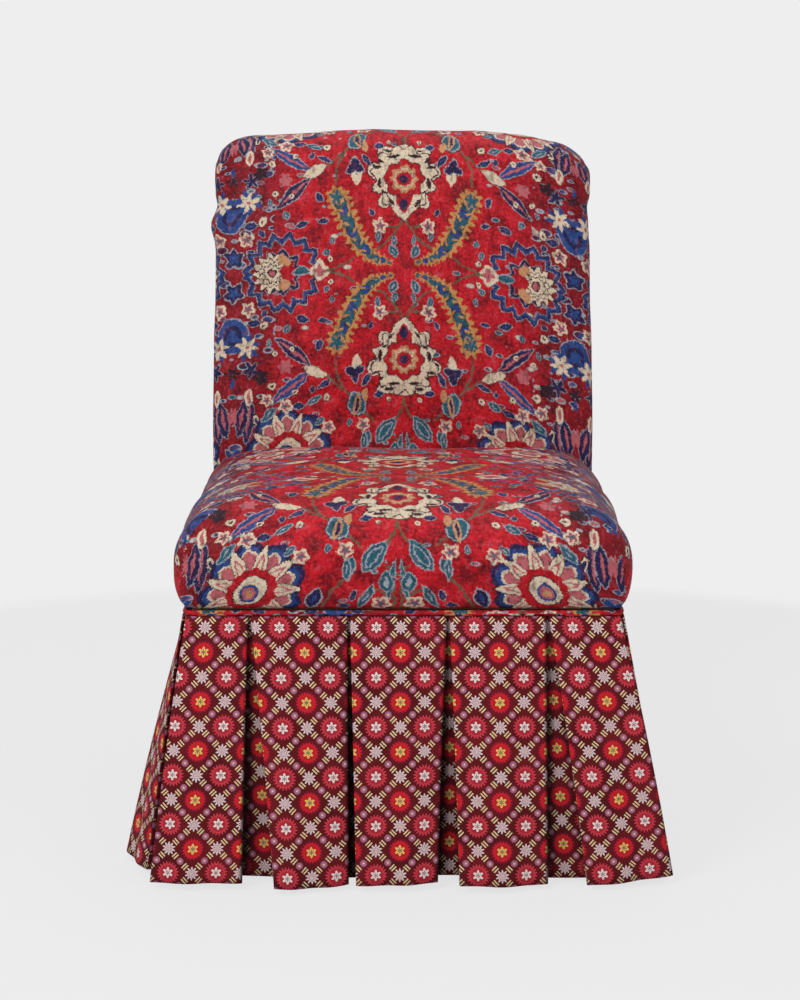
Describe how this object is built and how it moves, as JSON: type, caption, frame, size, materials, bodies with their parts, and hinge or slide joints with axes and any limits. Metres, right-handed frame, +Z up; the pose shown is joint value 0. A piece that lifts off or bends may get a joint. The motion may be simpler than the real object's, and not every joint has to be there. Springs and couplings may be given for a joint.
{
  "type": "slipper chair",
  "caption": "Low armless upholstered chair with a rolled back, a crowned welted seat and a box-pleated skirt to the floor.",
  "frame": {"origin": "on the floor, under the middle of the chair's bounding box", "axes": "+Z up; the chair faces -Y; +X is its width, towards the right as seen from the front"},
  "size_m": [0.6894, 0.7608, 0.935],
  "materials": {
    "hardwood": "planed, unfinished",
    "dowel_wood": "turned, unfinished",
    "zinc_steel": "zinc plated",
    "spring_steel": "black oiled wire",
    "blued_steel": "blued",
    "glide_nylon": "moulded, matte",
    "webbing": "woven jute",
    "burlap": "plain weave",
    "foam": "open cell, cut",
    "carpet_velvet": "short pile velvet with an all-over Persian carpet pattern",
    "rosette_cotton": "soft woven cloth with a traditional rosette lattice",
    "cardboard": "pressed card",
    "cambric": "thin non-woven"
  },
  "bodies": {
    "root": {"back_burlap": "burlap", "back_cover": "carpet_velvet", "back_foam": "foam", "back_rail": "hardwood", "back_webbing_cross": "webbing", "back_webbing_upright": "webbing", "corner_block_front_left": "hardwood", "corner_block_front_right": "hardwood", "corner_block_rear_left": "hardwood", "corner_block_rear_right": "hardwood", "corner_screws": "zinc_steel", "crest_rail": "hardwood", "dust_cover": "cambric", "dust_cover_tacks": "blued_steel", "front_leg_left": "hardwood", "front_leg_right": "hardwood", "front_rail": "hardwood", "glide_front_left": "glide_nylon", "glide_front_right": "glide_nylon", "glide_nails": "zinc_steel", "glide_rear_left": "glide_nylon", "glide_rear_right": "glide_nylon", "outside_back_panel": "carpet_velvet", "rail_dowels": "dowel_wood", "rear_post_left": "hardwood", "rear_post_right": "hardwood", "roll_rail": "hardwood", "seat_burlap": "burlap", "seat_cover": "carpet_velvet", "seat_foam": "foam", "seat_spring_1": "spring_steel", "seat_spring_2": "spring_steel", "seat_spring_3": "spring_steel", "seat_spring_4": "spring_steel", "seat_spring_5": "spring_steel", "side_rail_left": "hardwood", "side_rail_right": "hardwood", "skirt_front": "rosette_cotton", "skirt_left": "rosette_cotton", "skirt_rear": "rosette_cotton", "skirt_right": "rosette_cotton", "skirt_tack_strips": "cardboard", "spring_clips": "zinc_steel", "stay_rail": "hardwood", "welt_cord": "carpet_velvet"}
  },
  "joints": []
}
